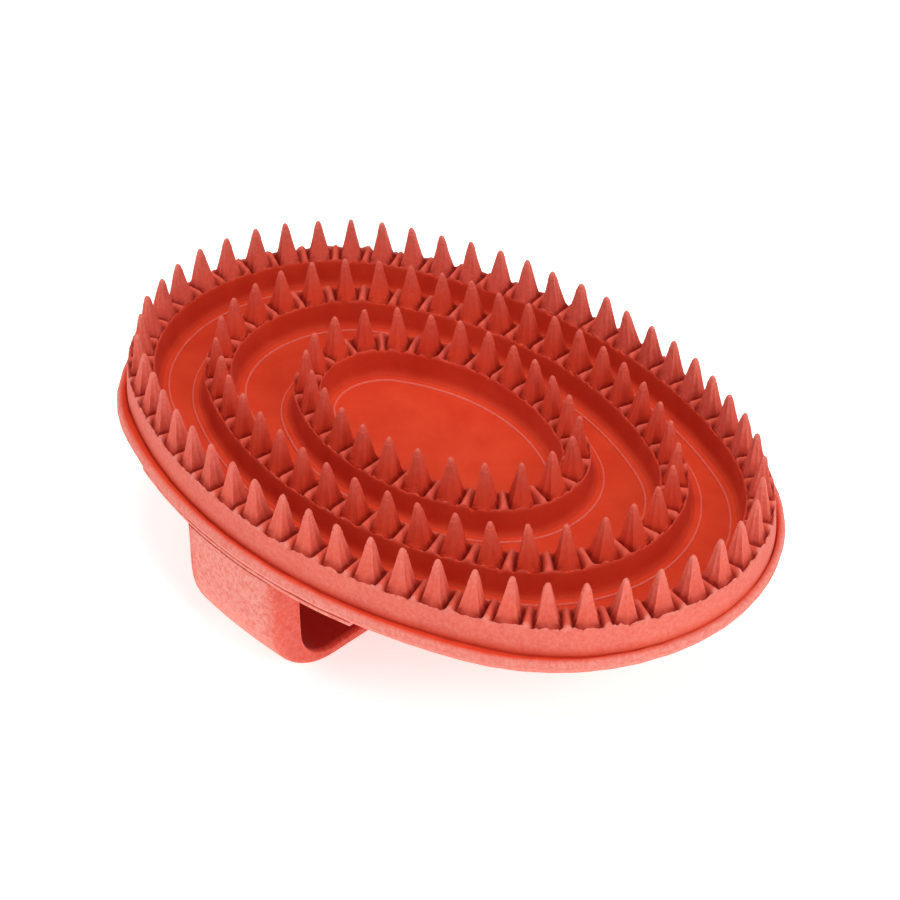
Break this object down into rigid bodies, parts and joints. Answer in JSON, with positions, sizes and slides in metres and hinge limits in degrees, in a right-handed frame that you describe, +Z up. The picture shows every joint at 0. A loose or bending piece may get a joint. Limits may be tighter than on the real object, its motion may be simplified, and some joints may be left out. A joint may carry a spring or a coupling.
{
  "type": "curry comb",
  "caption": "Oval rubber curry comb with concentric toothed rings on one side and a moulded hand strap across the back, standing teeth up on its strap.",
  "frame": {"origin": "under the middle of the oval, on the flat underside of the strap, which the comb stands on", "axes": "+X along the oval's long axis, +Y across it along the strap, +Z up through the teeth"},
  "size_m": [0.1608, 0.11, 0.0477],
  "materials": {
    "body_rubber": "coral red moulded natural rubber, matt with a fine dusty bloom",
    "tooth_rubber": "coral red moulded natural rubber, matt, paler and dusty at the tips",
    "strap_rubber": "coral red moulded natural rubber, matt, finely speckled with pale dust"
  },
  "bodies": {
    "root": {"back_plate": "body_rubber", "rim_lip": "body_rubber", "outer_ridge": "body_rubber", "middle_ridge": "body_rubber", "inner_ridge": "body_rubber", "outer_tooth_row": "tooth_rubber", "middle_tooth_row": "tooth_rubber", "inner_tooth_row": "tooth_rubber", "near_strap_root": "strap_rubber", "far_strap_root": "strap_rubber", "hand_strap": "strap_rubber"}
  },
  "joints": []
}
